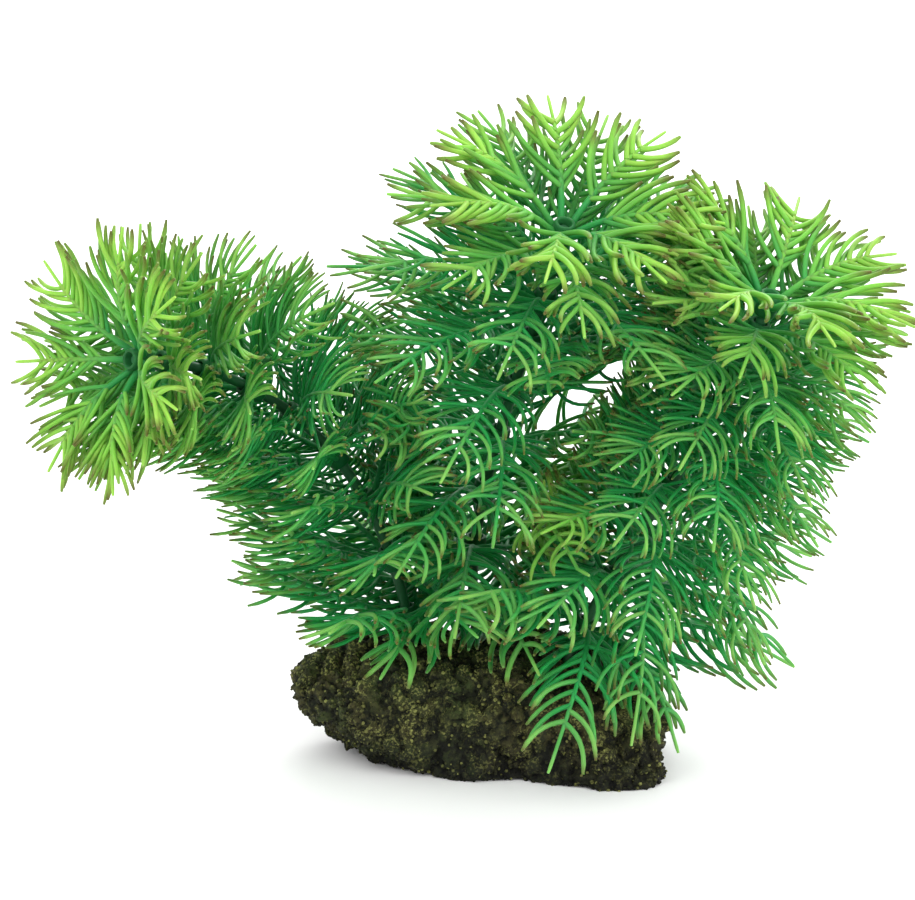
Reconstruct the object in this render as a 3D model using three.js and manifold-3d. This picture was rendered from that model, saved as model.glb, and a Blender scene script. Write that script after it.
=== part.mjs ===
// A moulded waterweed plant for an aquarium: three leaning stems of feathery whorls on a rock base.
// Millimetres and degrees. The origin is on the rock's flat underside, +Z is up and -Y is the front.
// Each stem is a rod that stands in a socket in the rock and carries a column of whorls. A whorl is
// one moulding: a sleeve on the rod, and fronds that spread from it. A frond is a rib with a row of
// teeth on both sides, and each tooth has the reach of one barb.
import * as THREE from "three";
import { mergeVertices } from "three/addons/utils/BufferGeometryUtils.js";
import Module from "manifold-3d";

const wasm = await Module();
wasm.setup();

// Rock: half length, half depth and height, how its left end rounds off above and below, and the
// lobe that swells its front right corner
const ROCK_HALF_LENGTH = 35;
const ROCK_HALF_DEPTH = 20;
const ROCK_HEIGHT = 22;
const ROCK_SQUARENESS = 2.6;
const ROCK_SHOULDER = { right: 4.5, left: 3.6 };
const ROCK_UNDERCUT = { right: 0.05, left: 0.36, height: 0.42 };
const ROCK_TURN = -3;
const LOBE = { angle: -38, width: 17, swell: 0.52, fade: 2 };
const KNOB = { angle: 172, width: 17, rise: 3.2 };
const ROCK_COLUMNS = 40;
const ROCK_LEVELS = [0, 0.16, 0.38, 0.6, 0.78, 0.91, 0.985];

// Stems: the route is a cubic Bezier with its foot, foot handle, tip handle and tip. The length and
// the slope are a frond's, from sleeve to tip, at the foot, half way up and at the crown. Half way
// up, the slope sways with the side that a frond is on. By the foot, the fronds on one side nod:
// they hang by that angle more and are shorter by that share. The claim is the extra room that a
// stem's fronds take between the stems.
const ROD_RADIUS = 1.0;
const FIT_GAP = 0.3;
const SLEEVE_WALL = 0.7;
const SLEEVE_LENGTH = 4.6;
const ROD_SIDES = 6;
const ROD_STEP = 10;
const SOCKET_SIDES = 8;
const SOCKET_GAP = 0.6;
const FIRST_WHORL = 12;
const ROD_END = 1.2;
const CROWDING = 1.2;
const STEMS = [
  {
    name: "left",
    route: [[-12, 0, 15], [-15, -5, 56], [-37, -4, 77], [-63, -26, 83]],
    start: 29,
    length: [31, 23, 20],
    slope: [20, 30, 26],
    sway: { by: 24, towards: 282 },
    nod: { by: -22, towards: 296, shorter: 0 },
    claim: 0,
  },
  {
    name: "middle",
    route: [[1, 9, 15], [-7, 5, 43], [10, 0, 76], [15.5, -14, 105]],
    start: 23,
    length: [33, 37, 23.5],
    slope: [12, 21, 25],
    sway: { by: -14, towards: 316 },
    nod: { by: -11, towards: 258, shorter: 0 },
    claim: 6,
  },
  {
    name: "right",
    route: [[15, -6, 15], [25, -9, 44], [43, -10, 60], [53, -20, 93]],
    start: 5,
    length: [36, 23, 22],
    slope: [18, 24, 25],
    sway: { by: -24, towards: 8 },
    nod: { by: 62, towards: 32, shorter: 0.3 },
    claim: 0,
  },
];

// Fronds: values at the lowest whorl, half way up and at the crown, and how fast the nod fades
const WHORLS = 9;
const WHORL_TURN = 28;
const FRONDS_IN_WHORL = 7;
const NOD_FADE = 0.36;
const RISE_AT_SLEEVE = [38, 40, 50];
const SAG = [0.09, 0.1, 0.02];
const WOBBLE = 5;
const YIELD_STEPS = 10;
const SHORTENED = 0.5;
const LIFTED = 42;

// Ribs and teeth
const TOOTH_PAIRS = 3;
const TOOTH_LENGTH = 13.5;
const TOOTH_ANGLE = 42;
const BARE_RIB = 0.08;
const TIP_TOOTH = 7;
const TOOTH_RISES = [0, 15, 30];
const REACH_STEP = 0.5;
const RIB_HALF_WIDTH = 1.0;
const RIB_HEIGHT = 1.0;

// The slot between the middle and the right stem that no frond grows into: it runs from front to
// back, sloping down by its tilt. In the y = 0 plane it narrows from one end to the other.
const SLOT = { from: [14.5, 0, 66], to: [27, 0, 76.5], wide: 3.6, narrow: 1, tilt: 15 };

// Room that a frond keeps to the other stems' fronds and to the rock
const NEIGHBOUR_GAP = 0.6;
const ROCK_GAP = 2.5;
const TOOTH_ROCK_GAP = 0.8;
const FLOOR_GAP = 1.2;

const UP = new THREE.Vector3(0, 0, 1);
const FRONT = new THREE.Vector3(0, -1, 0);
const radians = THREE.MathUtils.degToRad;

function point([x, y, z]) {
  return new THREE.Vector3(x, y, z);
}

// The value at share f of the way up a stem, by a parabola through its foot, middle and crown values
function upTheStem([low, middle, high], f) {
  return low * (1 - f) * (1 - 2 * f) + middle * 4 * f * (1 - f) + high * f * (2 * f - 1);
}

// An even spread of numbers from -1 to 1, so that no two fronds are quite alike
function wobble(k) {
  return ((k * 0.6180339887) % 1) * 2 - 1;
}

// A closed mesh as a solid for cutting and joining
function solid(geometry) {
  const bare = geometry.clone();
  bare.deleteAttribute("normal");
  bare.deleteAttribute("uv");
  const merged = mergeVertices(bare, 1e-4);
  return new wasm.Manifold(
    new wasm.Mesh({
      numProp: 3,
      vertProperties: new Float32Array(merged.attributes.position.array),
      triVerts: new Uint32Array(merged.index.array),
    }),
  );
}

function part(name, body, material) {
  const { vertProperties, triVerts } = body.getMesh();
  const geometry = new THREE.BufferGeometry();
  geometry.setAttribute("position", new THREE.BufferAttribute(vertProperties, 3));
  geometry.setIndex(new THREE.BufferAttribute(triVerts, 1));
  geometry.computeVertexNormals();
  const mesh = new THREE.Mesh(geometry, material);
  mesh.name = name;
  return mesh;
}

// A closed mesh from a list of points and a list of corner triples
function meshed(points, triangles) {
  const geometry = new THREE.BufferGeometry().setFromPoints(points);
  geometry.setIndex(triangles);
  return geometry;
}

// A straight cylinder round a middle point, along an axis
function cylinder(middle, axis, radius, length, sides) {
  const geometry = new THREE.CylinderGeometry(radius, radius, length, sides);
  geometry.applyQuaternion(new THREE.Quaternion().setFromUnitVectors(new THREE.Vector3(0, 1, 0), axis));
  geometry.translate(middle.x, middle.y, middle.z);
  return solid(geometry);
}

// How near a plan angle is to a lump's middle, from 1 there to 0 far from it
function nearness(direction, { angle, width }) {
  const away = (direction - radians(angle)) / radians(width);
  return Math.exp(-away * away);
}

// How far the rock reaches from its middle, at a plan angle and at a share of its height
function rockReach(direction, level) {
  const angle = direction - radians(ROCK_TURN);
  const n = ROCK_SQUARENESS;
  const across = Math.abs(Math.cos(angle) / ROCK_HALF_LENGTH) ** n;
  const deep = Math.abs(Math.sin(angle) / ROCK_HALF_DEPTH) ** n;
  const outline = (across + deep) ** (-1 / n);
  const lobe = 1 + LOBE.swell * (1 - level) ** LOBE.fade * nearness(direction, LOBE);
  const lumps = 0.035 * Math.sin(3 * angle + 7 * level) + 0.03 * Math.sin(7 * angle - 5 * level + 1);
  const pits = 0.025 * Math.sin(13 * angle + 17 * level);
  const leftness = ((1 - Math.cos(direction)) / 2) ** 4;
  const between = ({ right, left }) => right + (left - right) * leftness;
  const shoulder = (1 - level ** between(ROCK_SHOULDER)) ** (1 / 3);
  const undercut = 1 - between(ROCK_UNDERCUT) * Math.max(0, 1 - level / ROCK_UNDERCUT.height);
  return outline * lobe * (1 + lumps + pits) * shoulder * undercut;
}

// Whether a point is nearer than a gap to the rock or to what the rock stands on
function isBlocked(p, gap) {
  if (p.z < gap + FLOOR_GAP) return true;
  const level = p.z / ROCK_HEIGHT;
  if (level > 1 + gap / ROCK_HEIGHT) return false;
  return Math.hypot(p.x, p.y) < rockReach(Math.atan2(p.y, p.x), Math.min(level, 0.9)) + gap;
}

// The rock is rings of points from the flat underside to the top, each with ledges of its own
function rock() {
  const points = [new THREE.Vector3(0, 0, 0)];
  for (const level of ROCK_LEVELS) {
    for (let i = 0; i < ROCK_COLUMNS; i += 1) {
      const angle = ((i + 0.5) / ROCK_COLUMNS) * 2 * Math.PI - Math.PI;
      const r = rockReach(angle, level);
      const ledge = level === 0 ? 0 : 0.7 * Math.sin(5 * angle + 9 * level) + 0.5 * Math.sin(9 * angle);
      const raised = KNOB.rise * nearness(angle, KNOB) * level ** 4;
      const z = ROCK_HEIGHT * level + ledge + raised;
      points.push(new THREE.Vector3(r * Math.cos(angle), r * Math.sin(angle), z));
    }
  }
  points.push(new THREE.Vector3(0, 0, ROCK_HEIGHT + 0.6));
  const top = points.length - 1;
  const at = (row, i) => 1 + row * ROCK_COLUMNS + (i % ROCK_COLUMNS);
  const triangles = [];
  const lastRow = ROCK_LEVELS.length - 1;
  for (let i = 0; i < ROCK_COLUMNS; i += 1) {
    triangles.push(0, at(0, i + 1), at(0, i));
    triangles.push(top, at(lastRow, i), at(lastRow, i + 1));
    for (let row = 0; row < lastRow; row += 1) {
      triangles.push(at(row, i), at(row, i + 1), at(row + 1, i));
      triangles.push(at(row, i + 1), at(row + 1, i + 1), at(row + 1, i));
    }
  }
  return solid(meshed(points, triangles));
}

// Whether a point is in the slot, seen along the slot's own way from front to back
function isInSlot(p) {
  const { from, to, wide, narrow, tilt } = SLOT;
  const level = new THREE.Vector3(p.x, 0, p.z + p.y * Math.tan(radians(tilt)));
  const middle = new THREE.Line3(point(from), point(to));
  const share = middle.closestPointToPointParameter(level, true);
  return middle.at(share, new THREE.Vector3()).distanceTo(level) < wide + (narrow - wide) * share;
}

const routes = STEMS.map((stem) => new THREE.CubicBezierCurve3(...stem.route.map(point)));
const routePoints = routes.map((route) => route.getSpacedPoints(24));

function distanceToStem(p, index) {
  return Math.min(...routePoints[index].map((q) => q.distanceTo(p)));
}

// Whether a point is in its own stem's room, and not in another's
function isHome(p, index) {
  const own = distanceToStem(p, index) - STEMS[index].claim + NEIGHBOUR_GAP;
  if (isInSlot(p)) return false;
  return STEMS.every(({ claim }, other) => other === index || own < distanceToStem(p, other) - claim);
}

// A whorl's place on its stem: middle, axis, and the front and right directions across the axis
function whorlPlace(index, number) {
  const length = routes[index].getLength();
  const f = number / (WHORLS - 1);
  const way = length - FIRST_WHORL - ROD_END;
  const share = (FIRST_WHORL + way * (1 - (1 - f) ** CROWDING)) / length;
  const axis = routes[index].getTangentAt(share);
  const front = FRONT.clone().addScaledVector(axis, -FRONT.dot(axis)).normalize();
  const right = axis.clone().cross(front);
  const middle = routes[index].getPointAt(share);
  return { index, number, f, middle, axis, front, right };
}

// How much of its stem's nod a frond has, from 0 to 1
function nodShare({ index, number }, azimuth) {
  const faded = Math.max(0, 1 - NOD_FADE * number);
  return faded * Math.max(0, Math.cos(azimuth - radians(STEMS[index].nod.towards))) ** 3;
}

// The slope of a frond from sleeve to tip, in degrees from square to the stem
function frondSlope(place, azimuth) {
  const { slope, sway, nod } = STEMS[place.index];
  const swayed = sway.by * Math.sin(Math.PI * place.f) * Math.cos(azimuth - radians(sway.towards));
  return upTheStem(slope, place.f) + swayed - nod.by * nodShare(place, azimuth);
}

// The direction out from a stem's axis at an azimuth, which counts from the front to the right
function outward(place, azimuth) {
  const out = place.front.clone().multiplyScalar(Math.cos(azimuth));
  return out.addScaledVector(place.right, Math.sin(azimuth));
}

// A frond's rib: a curve that rises from the sleeve and bends over, with its side direction
function ribAt(place, azimuth, size, lift) {
  const out = outward(place, azimuth);
  const stem = STEMS[place.index];
  const nodding = 1 - stem.nod.shorter * nodShare(place, azimuth);
  const length = size * nodding * upTheStem(stem.length, place.f);
  const rise = radians(upTheStem(RISE_AT_SLEEVE, place.f));
  const slope = radians(frondSlope(place, azimuth) + lift);
  const start = place.middle.clone().addScaledVector(out, ROD_RADIUS + FIT_GAP + SLEEVE_WALL);
  const bend = start.clone().addScaledVector(out, (length / 2) * Math.cos(rise));
  bend.addScaledVector(place.axis, (length / 2) * Math.sin(rise));
  const tip = start.clone().addScaledVector(out, length * Math.cos(slope));
  tip.addScaledVector(place.axis, length * Math.sin(slope));
  tip.addScaledVector(UP, -length * upTheStem(SAG, place.f));
  const across = place.axis.clone().cross(out);
  return { curve: new THREE.QuadraticBezierCurve3(start, bend, tip), across, out, place, size };
}

// A frond's rib with room for it. Where it would run into the rock or another stem's fronds it
// yields: it rises more steeply and grows shorter, a step at a time.
function fittedRib(place, azimuth, sector) {
  const isClear = (p) => isHome(p, place.index) && !isBlocked(p, ROCK_GAP);
  for (let step = 0; step <= YIELD_STEPS; step += 1) {
    const give = step / YIELD_STEPS;
    const rib = ribAt(place, azimuth, 1 - give * SHORTENED, give * LIFTED);
    if (rib.curve.getPoints(12).slice(2).every(isClear)) return { ...rib, sector };
  }
  return null;
}

// Where the rib is at share u, with its direction, its side and its upper face's normal
function ribFrame({ curve, across }, u) {
  const along = curve.getTangent(u);
  const side = across.clone().addScaledVector(along, -across.dot(along)).normalize();
  return { at: curve.getPoint(u), along, side, normal: along.clone().cross(side) };
}

// The end of a tooth, which is cut short where it would leave its own frond's or stem's room, and
// rises off the rib where the rock is in its way
function reach(rib, from, direction, normal, length) {
  for (let run = length; run > REACH_STEP; run -= REACH_STEP) {
    for (const rise of TOOTH_RISES) {
      const way = direction.clone().multiplyScalar(Math.cos(radians(rise)));
      way.addScaledVector(normal, Math.sin(radians(rise)));
      const end = from.clone().addScaledVector(way, run);
      const offset = end.clone().sub(rib.place.middle);
      const isInSector = Math.abs(offset.dot(rib.across)) < rib.sector * offset.dot(rib.out);
      if (isInSector && isHome(end, rib.place.index) && !isBlocked(end, TOOTH_ROCK_GAP)) return end;
    }
  }
  return from.clone().addScaledVector(direction, REACH_STEP);
}

// One frond, grown from the four corners of a sleeve's side: a ridged rib, a tooth on each side of
// each step of it, and a tooth at its tip
function addFrond(points, triangles, rib, [a, b, c, d]) {
  const add = (p) => points.push(p) - 1;
  const section = (u) => {
    const { at, side, normal } = ribFrame(rib, u);
    const size = 1 - 0.5 * u;
    const corner = (s, n) => {
      const p = at.clone().addScaledVector(side, s * RIB_HALF_WIDTH * size);
      return add(p.addScaledVector(normal, n * RIB_HEIGHT * size));
    };
    return { ridge: corner(0, 0.6), left: corner(-1, -0.4), right: corner(1, -0.4) };
  };
  let last = section(BARE_RIB);
  triangles.push(a, b, last.left, b, last.right, last.left, b, c, last.right, c, last.ridge, last.right);
  triangles.push(c, d, last.ridge, d, a, last.left, d, last.left, last.ridge);
  for (let i = 1; i <= TOOTH_PAIRS; i += 1) {
    const u = BARE_RIB + ((1 - BARE_RIB) * i) / (TOOTH_PAIRS + 0.4);
    const next = section(u);
    const { at, along, side, normal } = ribFrame(rib, u - 0.5 / (TOOTH_PAIRS + 1));
    const length = TOOTH_LENGTH * Math.sqrt(rib.size) * (1 - 0.5 * u * u);
    const tooth = (s) => {
      const direction = along.clone().multiplyScalar(Math.cos(radians(TOOTH_ANGLE)));
      direction.addScaledVector(side, s * Math.sin(radians(TOOTH_ANGLE)));
      return add(reach(rib, at, direction, normal, length));
    };
    const left = tooth(-1);
    const right = tooth(1);
    triangles.push(last.left, last.right, next.left, next.left, last.right, next.right);
    triangles.push(last.ridge, last.left, left, last.ridge, left, next.ridge);
    triangles.push(left, next.left, next.ridge, last.left, next.left, left);
    triangles.push(last.ridge, right, last.right, last.ridge, next.ridge, right);
    triangles.push(right, next.ridge, next.right, last.right, right, next.right);
    last = next;
  }
  const end = ribFrame(rib, 1);
  const tip = add(reach(rib, end.at, end.along, end.normal, TIP_TOOTH));
  triangles.push(last.ridge, last.left, tip, last.ridge, tip, last.right, last.left, last.right, tip);
}

// One whorl: a sleeve with as many sides as fronds, and a frond on each side that has room for it
function whorl(index, number) {
  const place = whorlPlace(index, number);
  const halfTurn = Math.PI / FRONDS_IN_WHORL;
  const start = radians(STEMS[index].start + number * WHORL_TURN);
  const points = [];
  const triangles = [];
  const bore = (ROD_RADIUS + FIT_GAP) / Math.cos(halfTurn);
  const wall = (ROD_RADIUS + FIT_GAP + SLEEVE_WALL) / Math.cos(halfTurn);
  for (let j = 0; j < FRONDS_IN_WHORL; j += 1) {
    const out = outward(place, start + (2 * j + 1) * halfTurn);
    for (const [radius, height] of [[wall, -0.5], [wall, 0.5], [bore, -0.5], [bore, 0.5]]) {
      const corner = place.middle.clone().addScaledVector(out, radius);
      points.push(corner.addScaledVector(place.axis, height * SLEEVE_LENGTH));
    }
  }
  for (let j = 0; j < FRONDS_IN_WHORL; j += 1) {
    const before = (j + FRONDS_IN_WHORL - 1) % FRONDS_IN_WHORL;
    const [b, c, boreB, boreC] = [0, 1, 2, 3].map((k) => 4 * j + k);
    const [a, d, boreA, boreD] = [0, 1, 2, 3].map((k) => 4 * before + k);
    triangles.push(boreB, boreA, boreD, boreB, boreD, boreC);
    triangles.push(d, c, boreC, d, boreC, boreD);
    triangles.push(b, a, boreA, b, boreA, boreB);
    const azimuth = start + 2 * j * halfTurn + radians(WOBBLE * wobble(7 * number + j));
    const rib = fittedRib(place, azimuth, Math.tan(halfTurn - radians(WOBBLE)));
    if (rib) addFrond(points, triangles, rib, [a, b, c, d]);
    else triangles.push(a, b, c, a, c, d);
  }
  return solid(meshed(points, triangles));
}

// A rod along its stem's route
function rod(index) {
  const section = new THREE.Shape();
  for (let i = 0; i < ROD_SIDES; i += 1) {
    const angle = (2 * Math.PI * i) / ROD_SIDES;
    const corner = [ROD_RADIUS * Math.cos(angle), ROD_RADIUS * Math.sin(angle)];
    if (i === 0) section.moveTo(...corner);
    else section.lineTo(...corner);
  }
  const steps = Math.round(routes[index].getLength() / ROD_STEP);
  return solid(new THREE.ExtrudeGeometry(section, { steps, extrudePath: routes[index], bevelEnabled: false }));
}

// The socket that holds a rod's foot, open at the top of the rock
function socket(index) {
  const axis = routes[index].getTangentAt(0);
  const length = 2 * (ROCK_HEIGHT - STEMS[index].route[0][2]) + FIT_GAP;
  const middle = point(STEMS[index].route[0]).addScaledVector(axis, length / 2 - FIT_GAP);
  return cylinder(middle, axis, ROD_RADIUS + SOCKET_GAP, length, SOCKET_SIDES);
}

const stoneMaterial = new THREE.MeshStandardMaterial({ color: 0x3d3a22, roughness: 0.95, metalness: 0 });
const leafMaterial = new THREE.MeshStandardMaterial({ color: 0x2f8f3a, roughness: 0.45, metalness: 0 });
const crownMaterial = new THREE.MeshStandardMaterial({ color: 0x7cc443, roughness: 0.45, metalness: 0 });
const rodMaterial = new THREE.MeshStandardMaterial({ color: 0x1d5a2c, roughness: 0.5, metalness: 0 });

const plant = new THREE.Group();
plant.add(part("rock_base", STEMS.reduce((body, _, index) => body.subtract(socket(index)), rock()), stoneMaterial));
STEMS.forEach((stem, index) => {
  plant.add(part(`${stem.name}_rod`, rod(index), rodMaterial.clone()));
  for (let number = 0; number < WHORLS; number += 1) {
    const isCrown = number === WHORLS - 1;
    const name = isCrown ? `${stem.name}_crown` : `${stem.name}_whorl_${number + 1}`;
    plant.add(part(name, whorl(index, number), (isCrown ? crownMaterial : leafMaterial).clone()));
  }
});

export default plant;
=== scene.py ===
"""A moulded waterweed plant for an aquarium: three leaning stems of feathery whorls on a rock base.

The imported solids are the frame. Each solid whorl is replaced by one with every barb swept along its
own curve, each rod by a round one, and the rock by a weathered, gravelly one of the same form.
"""

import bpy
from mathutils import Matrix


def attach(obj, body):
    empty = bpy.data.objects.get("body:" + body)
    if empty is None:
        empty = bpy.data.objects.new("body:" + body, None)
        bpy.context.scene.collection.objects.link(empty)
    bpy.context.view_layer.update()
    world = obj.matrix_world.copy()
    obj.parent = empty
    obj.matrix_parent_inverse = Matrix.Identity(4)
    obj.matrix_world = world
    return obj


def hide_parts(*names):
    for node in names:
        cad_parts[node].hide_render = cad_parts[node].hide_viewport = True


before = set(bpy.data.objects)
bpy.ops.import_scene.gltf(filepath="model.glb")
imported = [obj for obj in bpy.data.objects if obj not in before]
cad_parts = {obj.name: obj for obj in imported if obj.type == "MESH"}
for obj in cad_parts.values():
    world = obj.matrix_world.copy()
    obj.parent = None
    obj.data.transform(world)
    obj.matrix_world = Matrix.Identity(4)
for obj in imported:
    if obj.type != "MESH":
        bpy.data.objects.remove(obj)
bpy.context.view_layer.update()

import math

import bmesh
import bpy
from mathutils import Vector, noise
from mathutils.geometry import intersect_point_line

bl_info = {
    "name": "Aquarium Waterweed",
    "version": (1, 0, 0),
    "blender": (4, 5, 0),
    "location": "3D View > Sidebar > Waterweed",
    "description": "Dresses the packed solids of a moulded waterweed plant on a rock base",
    "category": "Object",
}

MM = 0.001
UP = Vector((0, 0, 1))
FRONT = Vector((0, -1, 0))

# The rock's own measures, in millimetres and degrees: its outline, how its right and left end round
# off above and below, the lobe at its front right corner, and its lumps. A lump row has its share of
# the reach, its waves around and up the rock, and its phase.
ROCK_HALF_LENGTH = 35
ROCK_HALF_DEPTH = 20
ROCK_HEIGHT = 22
ROCK_SQUARENESS = 2.6
ROCK_SHOULDER = (4.5, 3.6)
ROCK_UNDERCUT = (0.05, 0.36)
ROCK_UNDERCUT_HEIGHT = 0.42
ROCK_TURN = -3
LOBE_ANGLE = -38
LOBE_WIDTH = 17
LOBE_SWELL = 0.52
LOBE_FADE = 2
ROCK_LUMPS = ((0.035, 3, 7, 0), (0.03, 7, -5, 1), (0.025, 13, 17, 0))

# The stems' own measures, so that each barb grows where its solid is. A frond without room yields in
# steps: it is shortened and lifted. A stem's length and slope are a frond's at the foot, half way up
# and at the crown. The sway is an angle that slopes gain towards a side half way up. The nod is how
# much more fronds hang at the foot, towards which side, and how much shorter that makes them. The
# claim is extra room between the stems.
ROD_RADIUS = 1.0
FIT_GAP = 0.3
SLEEVE_WALL = 0.7
SLEEVE_LENGTH = 4.6
FIRST_WHORL = 12
ROD_END = 1.2
CROWDING = 1.2
WHORLS = 9
WHORL_TURN = 28
FRONDS_IN_WHORL = 7
NOD_FADE = 0.36
NOD_FOCUS = 3
RISE_AT_SLEEVE = (38, 40, 50)
SAG = (0.09, 0.1, 0.02)
WOBBLE = 5
YIELD_STEPS = 10
SHORTENED = 0.5
LIFTED = 42
STEMS = (
    {
        "name": "left",
        "route": ((-12, 0, 15), (-15, -5, 56), (-37, -4, 77), (-63, -26, 83)),
        "start": 29,
        "length": (31, 23, 20),
        "slope": (20, 30, 26),
        "sway": (24, 282),
        "nod": (-22, 296, 0),
        "claim": 0,
    },
    {
        "name": "middle",
        "route": ((1, 9, 15), (-7, 5, 43), (10, 0, 76), (15.5, -14, 105)),
        "start": 23,
        "length": (33, 37, 23.5),
        "slope": (12, 21, 25),
        "sway": (-14, 316),
        "nod": (-11, 258, 0),
        "claim": 6,
    },
    {
        "name": "right",
        "route": ((15, -6, 15), (25, -9, 44), (43, -10, 60), (53, -20, 93)),
        "start": 5,
        "length": (36, 23, 22),
        "slope": (18, 24, 25),
        "sway": (-24, 8),
        "nod": (62, 32, 0.3),
        "claim": 0,
    },
)

# The slot that stays free between the middle and the right stem, the room that a frond keeps to the
# rock and the floor, the level above which the rock counts as no narrower, and the numbers of marks
# along a stem and a rib at which room is measured
SLOT_FROM = (14.5, 0, 66)
SLOT_TO = (27, 0, 76.5)
SLOT_WIDE = 3.6
SLOT_NARROW = 1
SLOT_TILT = 15
ROCK_GAP = 2.5
BARB_ROCK_GAP = 0.8
FLOOR_GAP = 1.2
HIGHEST_REACH = 0.9
ROUTE_MARK_COUNT = 24
RIB_MARK_COUNT = 12

# Ribs: how deep in the sleeve they root, how much thinner they grow and how soon, and how far their
# colour runs on along the barb at the tip
RIB_ROOT = 0.5
RIB_THINNING = 0.52
RIB_THINNING_POWER = 0.8
RIB_END = 0.75
PAST_TIP = 0.3

# Barbs: stations along a rib, how uneven stations, lengths and bows are, how barbs shorten towards
# the tip and where they have no room, how far out they bend, how strongly their spread shows where
# they leave, how far they hang along the rib, and their width from foot to end
FIRST_BARB = 0.09
FIRST_CROWN_BARB = 0.3
LAST_BARB = 0.9
STATION_WOBBLE = 0.12
STATION_STAGGER = 0.1
LENGTH_WOBBLE = 0.14
BOW_WOBBLE = 0.14
TIP_SHORTENING = 0.5
TIP_SHORTENING_POWER = 2.4
SHORTEST_BARB = 2
REACH_STEP = 0.5
BARB_RISES = (0, 15, 30)
BARB_BEND = 0.54
LEAVING_SPREAD_POWER = 1.5
HANG_ALONG = 0.5
BARB_TAPER = ((0, 1.0), (0.25, 0.94), (0.8, 0.85), (0.95, 0.85), (1, 0.5))

# Sleeves and rods: the rounding of a sleeve's rims, its belly, where its colour stands on the way
# out, and the widths of a rod's last two points
INNER_RIM = 0.15
OUTER_RIM = (0.2, 0.25)
SLEEVE_BELLY = 0.12
SLEEVE_SHARE = -0.3
ROD_END_WIDTHS = (0.96, 0.75)

# The resolution of what is swept
RIB_POINTS = 14
TIP_POINTS = 4
RIB_SIDES = 8
BARB_POINTS = 7
BARB_SIDES = 6
ROUTE_POINTS = 60
SLEEVE_SIDES = 20

# Stem by stem: how far up its growth turns fresh, how fine and close its barbs are, and how much
# its lowest barbs hang. The barbs are coarser by a share at the foot.
FRESH_FROM = (0.5, 0.75, 0.7)
FINENESS = (1.25, 1.0, 1.1)
HANGING = (0.4, 0.4, 1.0)
COARSER_AT_FOOT = 0.28

# A patch of painted backlight, light shining through the fronds low between the middle and the right
# stem, as seen from the front: its middle, half width and half height in millimetres, and how fresh it
# paints them
GLOW_PATCH = (12.5, 50)
GLOW_HALF_SIZE = (8, 15)
GLOW_FRESHNESS = 0.8


class Route:
    """A cubic Bezier with its foot, foot handle, tip handle and tip, measured along its length."""

    STEPS = 200

    def __init__(self, corners):
        self.corners = [Vector(corner) for corner in corners]
        points = [self._at(i / self.STEPS) for i in range(self.STEPS + 1)]
        self.lengths = [0.0]
        for before, after in zip(points, points[1:]):
            self.lengths.append(self.lengths[-1] + (after - before).length)
        self.length = self.lengths[-1]

    def _at(self, t):
        a, b, c, d = self.corners
        s = 1 - t
        return s**3 * a + 3 * s * s * t * b + 3 * s * t * t * c + t**3 * d

    def _parameter(self, share):
        target = min(max(share, 0), 1) * self.length
        i = 0
        while i < self.STEPS - 1 and self.lengths[i + 1] < target:
            i += 1
        low, high = self.lengths[i], self.lengths[i + 1]
        return (i + (target - low) / (high - low)) / self.STEPS

    def point(self, share):
        return self._at(self._parameter(share))

    def tangent(self, share):
        t = self._parameter(share)
        a, b, c, d = self.corners
        s = 1 - t
        return (s * s * (b - a) + 2 * s * t * (c - b) + t * t * (d - c)).normalized()

    def marks(self, count):
        """Evenly spaced points, one more than the count of steps between them."""
        return [self.point(i / count) for i in range(count + 1)]


ROUTES = [Route(stem["route"]) for stem in STEMS]
ROUTE_MARKS = [route.marks(ROUTE_MARK_COUNT) for route in ROUTES]


def up_the_stem(values, f):
    """The value at share f of the way up a stem, by a parabola through its foot, middle and crown values."""
    low, middle, high = values
    return low * (1 - f) * (1 - 2 * f) + middle * 4 * f * (1 - f) + high * f * (2 * f - 1)


def wobble(k):
    """An even spread of numbers from -1 to 1, the same in each run."""
    return math.fmod(k * 0.6180339887, 1) * 2 - 1


def even_share(k):
    """An even spread of numbers from 0 to 1."""
    return 0.5 + 0.5 * wobble(k)


def slot_level(p):
    """The height at which a point is seen along the slot, which slopes down from front to back."""
    return p.z + p.y * math.tan(math.radians(SLOT_TILT))


def rock_reach(direction, level):
    """How far the rock reaches from its middle, at a plan angle and at a share of its height."""
    angle = direction - math.radians(ROCK_TURN)
    across = abs(math.cos(angle) / ROCK_HALF_LENGTH) ** ROCK_SQUARENESS
    deep = abs(math.sin(angle) / ROCK_HALF_DEPTH) ** ROCK_SQUARENESS
    outline = (across + deep) ** (-1 / ROCK_SQUARENESS)
    from_lobe = (direction - math.radians(LOBE_ANGLE)) / math.radians(LOBE_WIDTH)
    lobe = 1 + LOBE_SWELL * (1 - level) ** LOBE_FADE * math.exp(-from_lobe * from_lobe)
    lumps = sum(
        share * math.sin(around * angle + upwards * level + phase)
        for share, around, upwards, phase in ROCK_LUMPS
    )
    leftness = ((1 - math.cos(direction)) / 2) ** 4
    power, inset = (right + (left - right) * leftness for right, left in (ROCK_SHOULDER, ROCK_UNDERCUT))
    shoulder = (1 - level**power) ** (1 / 3)
    undercut = 1 - inset * max(0, 1 - level / ROCK_UNDERCUT_HEIGHT)
    return outline * lobe * (1 + lumps) * shoulder * undercut


def is_blocked(p, gap):
    """Whether a point is nearer than a gap to the rock or to what the rock stands on."""
    if p.z < gap + FLOOR_GAP:
        return True
    level = p.z / ROCK_HEIGHT
    if level > 1 + gap / ROCK_HEIGHT:
        return False
    return math.hypot(p.x, p.y) < rock_reach(math.atan2(p.y, p.x), min(level, HIGHEST_REACH)) + gap


def distance_to_stem(p, index):
    return min((mark - p).length for mark in ROUTE_MARKS[index])


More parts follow.
